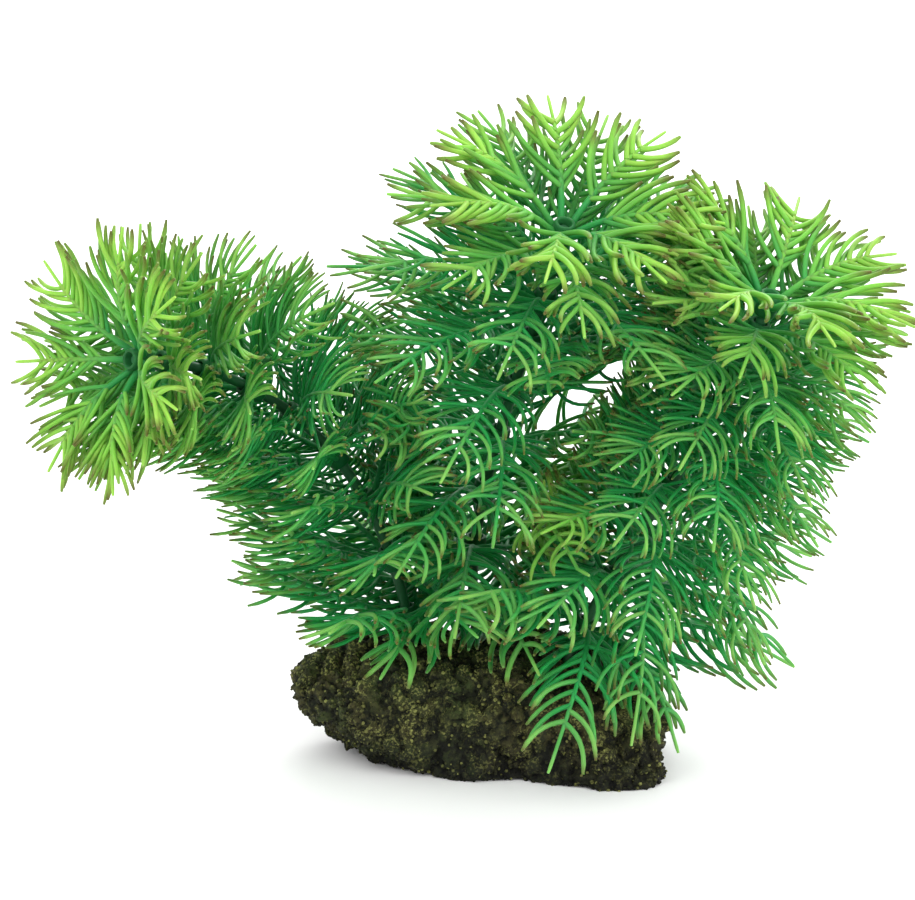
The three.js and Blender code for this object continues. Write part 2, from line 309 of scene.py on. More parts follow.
def is_in_slot(p):
    """Whether a point is in the slot that stays free between the middle and the right stem."""
    spot = Vector((p.x, 0, slot_level(p)))
    start, end = Vector(SLOT_FROM), Vector(SLOT_TO)
    share = intersect_point_line(spot, start, end)[1]
    share = min(max(share, 0), 1)
    return (start.lerp(end, share) - spot).length < SLOT_WIDE + (SLOT_NARROW - SLOT_WIDE) * share


def is_home(p, index, interleave):
    """Whether a point is in its own stem's room, or no deeper than the interleave in another's."""
    if is_in_slot(p):
        return False
    own = distance_to_stem(p, index) - STEMS[index]["claim"] - interleave
    others = (k for k in range(len(STEMS)) if k != index)
    return all(own < distance_to_stem(p, k) - STEMS[k]["claim"] for k in others)


class Place:
    """A whorl's place on its stem: middle, axis, and the front and right directions across the axis.

    Its freshness is 0 on most of a stem and 1 at the crown. Its footness, by which fronds nod, is 1
    at the lowest whorl and 0 from the fourth up.
    """

    def __init__(self, index, number):
        route = ROUTES[index]
        self.index = index
        self.number = number
        self.stem = STEMS[index]
        self.is_crown = number == WHORLS - 1
        self.node = self.stem["name"] + ("_crown" if self.is_crown else f"_whorl_{number + 1}")
        self.f = number / (WHORLS - 1)
        self.freshness = max(0.0, (self.f - FRESH_FROM[index]) / (1 - FRESH_FROM[index]))
        self.footness = max(0, 1 - NOD_FADE * number)
        self.fineness = FINENESS[index] * (1 - COARSER_AT_FOOT * self.footness)
        way = route.length - FIRST_WHORL - ROD_END
        share = (FIRST_WHORL + way * (1 - (1 - self.f) ** CROWDING)) / route.length
        self.axis = route.tangent(share)
        self.middle = route.point(share)
        self.front = (FRONT - self.axis * FRONT.dot(self.axis)).normalized()
        self.right = self.axis.cross(self.front)

    def between(self, low, high):
        """A value between a stem's lower whorls' and its crown's."""
        return low + (high - low) * self.freshness

    def outward(self, azimuth):
        return self.front * math.cos(azimuth) + self.right * math.sin(azimuth)

    def nod_share(self, azimuth):
        """How much of its stem's nod a frond has, from 0 to 1."""
        facing = max(0, math.cos(azimuth - math.radians(self.stem["nod"][1])))
        return self.footness * facing**NOD_FOCUS

    def slope(self, azimuth):
        """A frond's slope from sleeve to tip, in degrees from square to the stem."""
        sway, sway_side = self.stem["sway"]
        swayed = sway * math.sin(math.pi * self.f) * math.cos(azimuth - math.radians(sway_side))
        nodded = self.stem["nod"][0] * self.nod_share(azimuth)
        return up_the_stem(self.stem["slope"], self.f) + swayed - nodded

    def frond_length(self, azimuth):
        shortened = self.stem["nod"][2] * self.nod_share(azimuth)
        return up_the_stem(self.stem["length"], self.f) * (1 - shortened)

    def barb_angles(self, settings):
        """The angles at which barbs leave their rib and reach their ends, narrower in the crowns."""
        spread = self.between(1, settings.crown_spread) + (settings.foot_spread - 1) * self.footness
        return settings.leaving_angle * spread**LEAVING_SPREAD_POWER, settings.reaching_angle * spread


class Rib:
    """A frond's rib: a curve that rises from the sleeve and bends over."""

    def __init__(self, place, azimuth, size, lift):
        self.place = place
        self.size = size
        self.out = place.outward(azimuth)
        self.across = place.axis.cross(self.out)
        length = size * place.frond_length(azimuth)
        rise = math.radians(up_the_stem(RISE_AT_SLEEVE, place.f))
        slope = math.radians(place.slope(azimuth) + lift)
        self.start = place.middle + self.out * (ROD_RADIUS + FIT_GAP + SLEEVE_WALL)
        self.bend = self.start + (self.out * math.cos(rise) + place.axis * math.sin(rise)) * (length / 2)
        self.tip = self.start + (self.out * math.cos(slope) + place.axis * math.sin(slope)) * length
        self.tip -= UP * (length * up_the_stem(SAG, place.f))

    def point(self, u):
        return self.start * (1 - u) ** 2 + self.bend * (2 * u * (1 - u)) + self.tip * (u * u)

    def frame(self, u):
        """Where the rib is at share u, with its direction, its side and its upper face's normal."""
        along = ((self.bend - self.start) * (1 - u) + (self.tip - self.bend) * u).normalized()
        side = (self.across - along * self.across.dot(along)).normalized()
        return self.point(u), along, side, along.cross(side)

    def is_clear(self, interleave):
        """Whether the rib has room past its first two marks, which are close to the sleeve."""
        points = (self.point(i / RIB_MARK_COUNT) for i in range(2, RIB_MARK_COUNT + 1))
        return all(is_home(p, self.place.index, interleave) and not is_blocked(p, ROCK_GAP) for p in points)


def fitted_rib(place, azimuth, interleave):
    """A rib with room for it: where it is blocked it rises more steeply and grows shorter."""
    for step in range(YIELD_STEPS + 1):
        give = step / YIELD_STEPS
        rib = Rib(place, azimuth, 1 - give * SHORTENED, give * LIFTED)
        if rib.is_clear(interleave):
            return rib
    return None


# Node trees


class Nodes:
    """A short way to fill a node tree."""

    def __init__(self, tree):
        self.tree = tree

    def feed(self, node, inputs):
        """Sets a node's inputs, or links them where the value is another node's output."""
        for key, value in inputs.items():
            socket = node.inputs[key]
            if isinstance(value, bpy.types.NodeSocket):
                self.tree.links.new(value, socket)
            else:
                socket.default_value = value

    def node(self, kind, inputs=None, **settings):
        made = self.tree.nodes.new(kind)
        for key, value in settings.items():
            setattr(made, key, value)
        self.feed(made, inputs or {})
        return made

    def first(self, kind, inputs=None, **settings):
        """The first output of a new node."""
        return self.node(kind, inputs, **settings).outputs[0]

    def math(self, operation, a, b=0.0):
        return self.first("ShaderNodeMath", {0: a, 1: b}, operation=operation)

    def vector(self, x, y, z):
        return self.first("ShaderNodeCombineXYZ", {"X": x, "Y": y, "Z": z})


class Growth(Nodes):
    """A geometry node tree that takes a geometry, a material and named numbers."""

    def __init__(self, name, numbers):
        super().__init__(bpy.data.node_groups.new(name, "GeometryNodeTree"))
        face = self.tree.interface
        for label in ("Geometry", "Material"):
            face.new_socket(label, in_out="INPUT", socket_type="NodeSocket" + label)
        for label, default in numbers.items():
            kind = "NodeSocketInt" if isinstance(default, int) else "NodeSocketFloat"
            face.new_socket(label, in_out="INPUT", socket_type=kind).default_value = default
        face.new_socket("Geometry", in_out="OUTPUT", socket_type="NodeSocketGeometry")
        self.given = self.tree.nodes.new("NodeGroupInput").outputs
        self.result = self.tree.nodes.new("NodeGroupOutput")

    def attribute(self, name, kind="FLOAT"):
        return self.first("GeometryNodeInputNamedAttribute", {"Name": name}, data_type=kind)

    def store(self, geometry, name, value, domain="POINT"):
        inputs = {"Geometry": geometry, "Name": name, "Value": value}
        return self.first("GeometryNodeStoreNamedAttribute", inputs, data_type="FLOAT", domain=domain)

    def random(self, low, high, seed):
        inputs = {2: low, 3: high, "Seed": seed}
        return self.node("FunctionNodeRandomValue", inputs, data_type="FLOAT").outputs[1]

    def sweep(self, curve, sides, scale):
        """A closed tube along each curve."""
        profile = self.first("GeometryNodeCurvePrimitiveCircle", {"Resolution": sides, "Radius": 1.0})
        inputs = {"Curve": curve, "Profile Curve": profile, "Scale": scale, "Fill Caps": True}
        return self.first("GeometryNodeCurveToMesh", inputs)

    def instances(self, points, instance, rotation, scale):
        inputs = {"Points": points, "Instance": instance, "Rotation": rotation, "Scale": scale}
        return self.first("GeometryNodeInstanceOnPoints", inputs)

    def realized(self, geometry):
        return self.first("GeometryNodeRealizeInstances", {"Geometry": geometry})

    def end(self, geometry, smooth):
        inputs = {"Geometry": self.realized(geometry), "Shade Smooth": smooth}
        shaded = self.first("GeometryNodeSetShadeSmooth", inputs)
        inputs = {"Geometry": shaded, "Material": self.given["Material"]}
        self.feed(self.result, {0: self.first("GeometryNodeSetMaterial", inputs)})
        return self.tree


def frond_tree():
    """Sweeps a tapered rib along each chain of edges, and a bent barb from each loose point.

    A barb's point holds the rib's direction, the barb's side direction, its size and its place.
    """
    sizes = {"Barb Radius": 0.0005, "Leaving Angle": 1.0, "Reaching Angle": 0.65, "Barb Rise": 0.1}
    tree = Growth("Fronds", sizes)
    given = tree.given
    split = tree.node(
        "GeometryNodeSeparateGeometry",
        {"Geometry": given["Geometry"], "Selection": tree.attribute("is_barb", "BOOLEAN")},
        domain="POINT",
    )
    ribs = tree.first("GeometryNodeMeshToCurve", {"Mesh": split.outputs["Inverted"]})
    rib_mesh = tree.sweep(tree.store(ribs, "barb", 0.0), RIB_SIDES, tree.attribute("thick"))

    leaving, reaching = given["Leaving Angle"], given["Reaching Angle"]
    bend = tree.vector(
        tree.math("MULTIPLY", tree.math("COSINE", leaving), BARB_BEND),
        tree.math("MULTIPLY", tree.math("SINE", leaving), BARB_BEND),
        given["Barb Rise"],
    )
    end = tree.vector(tree.math("COSINE", reaching), tree.math("SINE", reaching), 0.0)
    barb = tree.first(
        "GeometryNodeCurveQuadraticBezier",
        {"Resolution": BARB_POINTS, "Start": (0, 0, 0), "Middle": bend, "End": end},
    )
    points = tree.first("GeometryNodeMeshToPoints", {"Mesh": split.outputs["Selection"]})
    axes = {
        "Primary Axis": tree.attribute("along", "FLOAT_VECTOR"),
        "Secondary Axis": tree.attribute("side", "FLOAT_VECTOR"),
    }
    turn = tree.first("FunctionNodeAxesToRotation", axes, primary_axis="X", secondary_axis="Y")
    curves = tree.realized(tree.instances(points, barb, turn, tree.attribute("size", "FLOAT_VECTOR")))
    way = tree.node("GeometryNodeSplineParameter").outputs["Factor"]
    curves = tree.store(curves, "barb", way)
    taper = tree.node("ShaderNodeFloatCurve", {"Value": tree.attribute("barb")})
    line = taper.mapping.curves[0].points
    line[0].location = BARB_TAPER[0]
    line[1].location = BARB_TAPER[-1]
    for spot in BARB_TAPER[1:-1]:
        line.new(*spot)
    taper.mapping.update()
    radius = tree.math("MULTIPLY", taper.outputs[0], given["Barb Radius"])
    both = tree.node("GeometryNodeJoinGeometry")
    for mesh in (rib_mesh, tree.sweep(curves, BARB_SIDES, radius)):
        tree.feed(both, {0: mesh})
    return tree.end(both.outputs[0], smooth=True)


def grain_tree():
    """Scatters rough grains over a surface, half sunk in it."""
    tree = Growth("Grains", {"Density": 850000.0, "Smallest": 0.00016, "Largest": 0.00045, "Seed": 4})
    given = tree.given
    scattered = tree.node(
        "GeometryNodeDistributePointsOnFaces",
        {"Mesh": given["Geometry"], "Density": given["Density"], "Seed": given["Seed"]},
        distribute_method="RANDOM",
    )
    grain = tree.first("GeometryNodeMeshIcoSphere", {"Radius": 1.0, "Subdivisions": 1})
    size = tree.random(given["Smallest"], given["Largest"], seed=1)
    angles = {0: (0, 0, 0), 1: (math.tau, math.tau, math.tau), "Seed": 2}
    angles = tree.first("FunctionNodeRandomValue", angles, data_type="FLOAT_VECTOR")
    turn = tree.first("FunctionNodeEulerToRotation", {"Euler": angles})
    placed = tree.instances(scattered.outputs["Points"], grain, turn, size)
    tinted = tree.store(placed, "grain", tree.random(0.0, 1.0, seed=3), domain="INSTANCE")
    return tree.end(tinted, smooth=False)


# Objects and meshes


def placed_object(name, data):
    """A new object in the scene, at the origin."""
    made = bpy.data.objects.new(name, data)
    bpy.context.scene.collection.objects.link(made)
    return made


def plain_mesh(holder):
    """What an object's modifiers make of its mesh. The object and the mesh that it had are removed."""
    depsgraph = bpy.context.evaluated_depsgraph_get()
    result = bpy.data.meshes.new_from_object(holder.evaluated_get(depsgraph))
    mesh = holder.data
    holder.modifiers.clear()
    bpy.data.objects.remove(holder)
    bpy.data.meshes.remove(mesh)
    return result


def grown(mesh, name, tree, values):
    """A new plain mesh object: what a geometry node tree makes of a mesh.

    The tree's inputs are set by their sockets' identifiers.
    """
    seed = placed_object("seed", mesh)
    modifier = seed.modifiers.new("grow", "NODES")
    modifier.node_group = tree
    for item in tree.interface.items_tree:
        if item.item_type == "SOCKET" and item.in_out == "INPUT" and item.name in values:
            modifier[item.identifier] = values[item.name]
    result = plain_mesh(seed)
    if not result.polygons:
        raise RuntimeError(f"{name} grew no faces")
    result.name = name
    return placed_object(name, result)


def mesh_from(points, name):
    """A mesh from a bmesh, which is freed."""
    result = bpy.data.meshes.new(name)
    points.to_mesh(result)
    points.free()
    return result


def chain(mesh, verts):
    """Joins points in a row by edges, for the frond tree to sweep."""
    for before, after in zip(verts, verts[1:]):
        mesh.edges.new((before, after))


def finished(piece, slot, *nodes):
    """Puts a piece on the plant's one body, in place of the solids that it stands for."""
    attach(piece, "root")
    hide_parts(*nodes)


# Materials

LEAF_COLOURS = {
    "Deep": "deep_green",
    "Bright": "bright_green",
    "Fresh": "fresh_green",
    "Olive": "leaf_olive",
    "Brown": "end_brown",
}
STONE_COLOURS = {"Dark": "stone_pit_shade", "Olive": "stone_olive", "Brown": "stone_brown", "Pale": "stone_pale"}


class Shader(Nodes):
    """The nodes of a material or of a shader group."""

    def noise(self, scale, detail=2.0, roughness=0.5):
        place = self.node("ShaderNodeTexCoord").outputs["Object"]
        inputs = {"Vector": place, "Scale": scale, "Detail": detail, "Roughness": roughness}
        return self.node("ShaderNodeTexNoise", inputs).outputs["Fac"]

    def attribute(self, name):
        return self.node("ShaderNodeAttribute", attribute_name=name).outputs["Fac"]

    def span(self, value, low, high, to_low=0.0, to_high=1.0):
        """Takes a value from one span to another. Past the ends it stays at the end."""
        inputs = {0: value, 1: low, 2: high, 3: to_low, 4: to_high}
        return self.first("ShaderNodeMapRange", inputs, clamp=True)

    def mix(self, share, a, b, blend="MIX"):
        inputs = {0: share, 6: a, 7: b}
        return self.node("ShaderNodeMix", inputs, data_type="RGBA", blend_type=blend).outputs[2]

    def shaded(self, colour, shade):
        return self.mix(1.0, colour, shade, "MULTIPLY")


def colour_group(name, colours, measure):
    """An empty shader group that takes the named colours and puts out a colour and a measure."""
    tree = bpy.data.node_groups.new(name, "ShaderNodeTree")
    for label in colours:
        tree.interface.new_socket(label, in_out="INPUT", socket_type="NodeSocketColor")
    for label, kind in (("Colour", "NodeSocketColor"), (measure, "NodeSocketFloat")):
        tree.interface.new_socket(label, in_out="OUTPUT", socket_type=kind)
    return Shader(tree), tree.nodes.new("NodeGroupInput").outputs, tree.nodes.new("NodeGroupOutput")


def new_material(name):
    """A material, with its nodes and its Principled shader."""
    material = bpy.data.materials.new(name)
    material.use_nodes = True
    return material, Shader(material.node_tree), material.node_tree.nodes["Principled BSDF"]


def coloured(shader, group, settings, colours):
    """A shader group's outputs, with its colours from the settings."""
    inputs = {label: (*getattr(settings, setting), 1) for label, setting in colours.items()}
    return shader.node("ShaderNodeGroup", inputs, node_tree=group).outputs


def leaf_colour_group():
    """Leaf colour: deep by the sleeve, fresh in the crowns, olive outwards, brown at a barb's end, with
    painted shade at the sleeve and a painted backlit glow low between two stems.
    """
    shader, given, result = colour_group("Leaf Colour", LEAF_COLOURS, "Roughness")
    share, barb = shader.attribute("share"), shader.attribute("barb")
    fresh_and_glow, tint = shader.attribute("fresh_and_glow"), shader.attribute("tint")
    # How far out a spot counts as: along its rib and its barb, more or less by its tint
    outward = shader.math("ADD", share, shader.math("MULTIPLY", barb, 0.35))
    outward = shader.math("ADD", outward, shader.span(tint, 0, 1, -0.2, 0.2))
    base = shader.mix(shader.span(outward, 0.0, 1.2), given["Deep"], given["Bright"])
    # Fresh green in the crowns, and as painted backlight in the glow patch low between the middle and the
    # right stem
    new_growth_and_glow = shader.math("MULTIPLY", fresh_and_glow, shader.span(outward, 0.1, 1.2, 0.05, 1.0))
    base = shader.mix(new_growth_and_glow, base, given["Fresh"])
    base = shader.mix(shader.span(outward, 0.7, 1.35, 0.0, 0.7), base, given["Olive"])
    # Cloudy, and darker by the sleeve as painted shade on the sleeve and the ribs' roots, in the heart of
    # the whorl
    base = shader.shaded(base, shader.span(shader.noise(90, 2.0), 0.35, 0.65, 0.88, 1.1))
    base = shader.shaded(base, shader.span(share, SLEEVE_SHARE, 0.15, 0.45, 1.0))
    # The brown end begins sooner on fresh growth and in the painted glow patch, and is fainter on some tints
    ends_from = shader.span(fresh_and_glow, 0.0, 1.0, 0.8, 0.64)
    end = shader.span(barb, ends_from, 0.98)
    end = shader.math("MULTIPLY", end, shader.span(tint, 0.1, 0.7, 0.45, 1.0))
    gloss = shader.span(shader.noise(400, 1.0), 0.3, 0.7, 0.42, 0.6)
    shader.feed(result, {"Colour": shader.mix(end, base, given["Brown"]), "Roughness": gloss})
    return shader.tree


def leaf_material(name, group, settings):
    """Soft moulded green plastic, with a low sheen and a little light through it."""
    material, shader, skin = new_material(name)
    leaf = coloured(shader, group, settings, LEAF_COLOURS)
    shader.feed(
        skin,
        {
            "Base Color": leaf["Colour"],
            "Roughness": leaf["Roughness"],
            "Subsurface Weight": 0.5,
            "Subsurface Radius": (0.4, 1.0, 0.3),
            "Subsurface Scale": 0.0012,
            "Specular IOR Level": 0.2,
        },
    )
    return material


def rod_material(settings):
    """The rods' darker, smoother plastic."""
    material, shader, skin = new_material("stem plastic")
    cloud = shader.span(shader.noise(120, 2.0), 0.35, 0.65, 0.7, 1.2)
    green = shader.shaded((*settings.rod_green, 1), cloud)
    gloss = shader.span(shader.noise(500), 0.3, 0.7, 0.4, 0.6)
    shader.feed(skin, {"Base Color": green, "Roughness": gloss})
    return material


def stone_colour_group():
    """Mottled stone: olive and brown patches, clusters of pale specks, painted shade in its pits and
    hollows, and a dark foot that is partly painted shade under the rock, partly its own dark lower rim.
    """
    shader, given, result = colour_group("Stone Colour", STONE_COLOURS, "Height")
    broad = shader.noise(70, 3.0, 0.6)
    patches = shader.noise(190, 2.0, 0.6)
    middle = shader.noise(600, 3.0, 0.65)
    fine = shader.noise(1700, 2.0, 0.6)
    base = shader.mix(shader.span(broad, 0.42, 0.6), given["Olive"], given["Brown"])
    # Painted shade: darker in the pits of the bump relief and in the hollows of the weathered mesh
    raised = shader.attribute("raised")
    hollow_shade = shader.span(raised, -0.85, -0.35, 0.9, 0.0)
    pits = shader.math("ADD", shader.span(middle, 0.4, 0.56, 0.7, 0.0), hollow_shade)
    base = shader.mix(shader.math("MINIMUM", pits, 1.0), base, given["Dark"])
    clusters = shader.span(patches, 0.42, 0.58, 0.1, 1.0)
    specks = shader.math("MULTIPLY", shader.span(fine, 0.5, 0.62), clusters)
    # The specks are the stone's own; fainter in the hollows as painted shade
    specks = shader.math("MULTIPLY", specks, shader.span(raised, -0.7, -0.2, 0.25, 1.0))
    base = shader.mix(shader.math("MULTIPLY", specks, 0.75), base, given["Pale"])
    # Darker towards the foot: partly painted shade under the rock, partly the rock's own dark lower rim
    place = shader.node("ShaderNodeTexCoord").outputs["Object"]
    height = shader.node("ShaderNodeSeparateXYZ", {"Vector": place}).outputs["Z"]
    base = shader.shaded(base, shader.span(height, 0.001, 0.013, 0.18, 1.0))
    relief = shader.math("ADD", shader.math("MULTIPLY", middle, 0.6), shader.math("MULTIPLY", fine, 0.4))
    shader.feed(result, {"Colour": base, "Height": relief})
    return shader.tree


def stone_material(name, group, settings, grainy):
    """Rough cast stone. On the grains, each grain has a shade of its own."""
    material, shader, skin = new_material(name)
    stone = coloured(shader, group, settings, STONE_COLOURS)
    colour = stone["Colour"]
    if grainy:
        own = shader.attribute("grain")
        colour = shader.mix(shader.span(own, 0.8, 1.0, 0.0, 0.5), colour, (*settings.stone_pale, 1))
        colour = shader.shaded(colour, shader.span(own, 0.0, 1.0, 0.5, 1.35))
    relief = {"Height": stone["Height"], "Strength": 0.8, "Distance": 0.0005}
    normal = shader.first("ShaderNodeBump", relief)
    inputs = {"Base Color": colour, "Normal": normal, "Roughness": 0.8, "Specular IOR Level": 0.25}
    shader.feed(skin, inputs)
    return material


# Pieces


def backlit_glow(p):
    """How much painted backlight, as freshness, the glow patch gives a point, fading towards its rim."""
    spot = (p.x, slot_level(p))
    across, up = ((v - m) / half for v, m, half in zip(spot, GLOW_PATCH, GLOW_HALF_SIZE))
    return GLOW_FRESHNESS * max(0.0, 1 - across * across - up * up) ** 0.5


class WhorlSeed:
    """Chains of points along a whorl's ribs, and one loose point for each barb."""

    def __init__(self, place, settings):
        self.place = place
        self.settings = settings
        self.room = settings.interleave / MM
        half_turn = math.pi / FRONDS_IN_WHORL
        self.sector = math.tan(half_turn - math.radians(WOBBLE) + settings.barb_overlap)
        self.points = bmesh.new()
        layers = self.points.verts.layers
        kinds = [(layers.bool, "is_barb")]
        kinds += [(layers.float, name) for name in ("thick", "share", "tint", "fresh_and_glow")]
        kinds += [(layers.float_vector, name) for name in ("size", "along", "side")]
        self.layers = {name: kind.new(name) for kind, name in kinds}
        number = place.number
        start = math.radians(place.stem["start"] + number * WHORL_TURN)
        for j in range(FRONDS_IN_WHORL):
            azimuth = start + 2 * j * half_turn + math.radians(WOBBLE * wobble(7 * number + j))
            rib = fitted_rib(place, azimuth, self.room)
            if rib is not None:
                key = (place.index * WHORLS + number) * FRONDS_IN_WHORL + j
                self.add_rib(rib, key)
                self.add_barbs(rib, key)
        self.mesh = mesh_from(self.points, "whorl seed")

    def reach(self, rib, start, direction, normal, length):
        """A barb's length and rise. It rises off the rib, or is cut short, where it has no room."""
        run = length
        while run > REACH_STEP:
            for rise in BARB_RISES:
                angle = math.radians(rise)
                end = start + (direction * math.cos(angle) + normal * math.sin(angle)) * run
                offset = end - self.place.middle
                is_in_sector = abs(offset.dot(rib.across)) < self.sector * offset.dot(rib.out)
                has_room = is_home(end, self.place.index, self.room) and not is_blocked(end, BARB_ROCK_GAP)
                if is_in_sector and has_room:
                    return run, angle
            run -= REACH_STEP
        return REACH_STEP, 0.0

    def add_point(self, spot, **values):
        vert = self.points.verts.new(spot * MM)
        # The larger of the whorl's freshness and the painted backlight of the glow patch
        values["fresh_and_glow"] = max(self.place.freshness, backlit_glow(spot))
        for name, value in values.items():
            vert[self.layers[name]] = value
        return vert

    def add_rib(self, rib, key):
        """A chain from inside the sleeve to the rib's tip, and on along its last barb."""
        tip, along, side, normal = rib.frame(1)
        run, rise = self.reach(rib, tip, along, normal, self.settings.tip_barb / MM)
        onward = along * math.cos(rise) + normal * math.sin(rise)
        stops = [(rib.point(i / (RIB_POINTS - 1)), i / (RIB_POINTS - 1)) for i in range(RIB_POINTS)]
        stops[0] = (rib.start - rib.out * RIB_ROOT, 0)
        past_tip = [i / TIP_POINTS for i in range(1, TIP_POINTS + 1)]
        stops += [(tip + onward * (run * past), 1 + PAST_TIP * past) for past in past_tip]
        verts = []
        for spot, share in stops:
            thinning = RIB_THINNING * min(share, 1) ** RIB_THINNING_POWER
            thick = self.settings.rib_radius * (1 - thinning)
            if share == stops[-1][1]:
                thick *= RIB_END
            verts.append(self.add_point(spot, thick=thick, share=share, tint=even_share(5 * key)))
        chain(self.points, verts)

    def add_barbs(self, rib, key):
        """Loose points down both sides of a rib, each with its barb's direction and length.

        Each kind of unevenness takes a multiple of its own of the barb's number.
        """
        settings, place = self.settings, self.place
        angle = place.barb_angles(settings)[1]
        hang = settings.barb_hang * HANGING[place.index] * place.footness
        longest = place.between(settings.barb_length, settings.crown_barb_length) / MM
        pairs = round(place.between(settings.barb_pairs, settings.crown_barb_pairs) * place.fineness)
        first = place.between(FIRST_BARB, FIRST_CROWN_BARB)
        step = (LAST_BARB - first) / (pairs - 1)
        for pair in range(pairs):
            for hand in (-1, 1):
                k = (key * pairs + pair) * 2 + (hand + 1) // 2
                share = first + step * (pair + STATION_WOBBLE * wobble(k) + STATION_STAGGER * hand)
                at, along, side, normal = rib.frame(share)
                tilt = settings.barb_tilt * wobble(3 * k + 1) + settings.barb_droop
                sideways = side * (hand * math.cos(tilt)) - normal * math.sin(tilt)
                swing = settings.barb_swing * wobble(7 * k + 3)
                forward = along * math.cos(swing) - sideways * math.sin(swing)
                sideways = along * math.sin(swing) + sideways * math.cos(swing)
                forward = (forward - UP * (HANG_ALONG * hang)).normalized()
                sideways = (sideways - UP * hang).normalized()
                direction = forward * math.cos(angle) + sideways * math.sin(angle)
                ideal = longest * math.sqrt(rib.size) * (1 - TIP_SHORTENING * share**TIP_SHORTENING_POWER)
                ideal *= 1 + LENGTH_WOBBLE * wobble(5 * k + 2)
                run, rise = self.reach(rib, at, direction, normal, ideal)
                if run < SHORTEST_BARB:
                    continue
                lift = rise / math.sin(angle)
                bow = BOW_WOBBLE * wobble(13 * k + 5)
                self.add_point(
                    at,
                    is_barb=True,
                    share=share,
                    tint=even_share(11 * k),
                    size=Vector((1 + bow * 0.5, 1 - bow, 1)) * (run * MM),
                    along=forward,
                    side=sideways * math.cos(lift) + normal * math.sin(lift),
                )


def add_sleeve(piece, place):
    """Adds the whorl's sleeve, a short tube with rounded rims, to its piece."""
    bore = ROD_RADIUS + FIT_GAP
    wall = bore + SLEEVE_WALL
    half = SLEEVE_LENGTH / 2
    rim_width, rim_height = OUTER_RIM
    lower = [(bore, INNER_RIM - half), (bore + INNER_RIM, -half)]
    lower += [(wall - rim_width, -half), (wall, rim_height - half)]
    upper = [(radius, -height) for radius, height in reversed(lower)]
    mesh = bmesh.new()
    mesh.from_mesh(piece.data)
    fresh_and_glow, share = (mesh.verts.layers.float[name] for name in ("fresh_and_glow", "share"))
    slot = max(len(piece.data.materials) - 1, 0)
    rings = []
    for radius, height in [*lower, (wall + SLEEVE_BELLY, 0), *upper]:
        ring = []
        for i in range(SLEEVE_SIDES):
            out = place.outward(math.tau * i / SLEEVE_SIDES)
            vert = mesh.verts.new((place.middle + out * radius + place.axis * height) * MM)
            vert[fresh_and_glow] = place.freshness
            vert[share] = SLEEVE_SHARE
            ring.append(vert)
        rings.append(ring)
    for below, above in zip(rings, rings[1:] + rings[:1]):
        for i in range(SLEEVE_SIDES):
            j = (i + 1) % SLEEVE_SIDES
            face = mesh.faces.new((below[i], below[j], above[j], above[i]))
            face.smooth = True
            face.material_index = slot
    mesh.to_mesh(piece.data)
    mesh.free()


def rod_seed(route):
    """A chain of points along a rod, each with the rod's radius there."""
    points = bmesh.new()
    thick = points.verts.layers.float.new("thick")
    points.verts.layers.bool.new("is_barb")
    widths = [1.0] * (ROUTE_POINTS - len(ROD_END_WIDTHS)) + list(ROD_END_WIDTHS)
    verts = []
    for spot, width in zip(route.marks(ROUTE_POINTS - 1), widths):
        vert = points.verts.new(spot * MM)
        vert[thick] = ROD_RADIUS * width * MM
        verts.append(vert)
    chain(points, verts)
    return mesh_from(points, "chain")


# Settings


def count_setting(name, description, count):
    return bpy.props.IntProperty(name=name, description=description, default=count, min=2)


def length_setting(name, description, metres):
    return bpy.props.FloatProperty(
        name=name, description=description, default=metres, unit="LENGTH", subtype="DISTANCE"
    )


def angle_setting(name, description, degrees):
    return bpy.props.FloatProperty(
        name=name, description=description, default=math.radians(degrees), subtype="ANGLE"
    )


def share_setting(name, description, share):
    return bpy.props.FloatProperty(name=name, description=description, default=share)


def colour_setting(name, description, colour):
    return bpy.props.FloatVectorProperty(name=name, description=description, default=colour, subtype="COLOR")


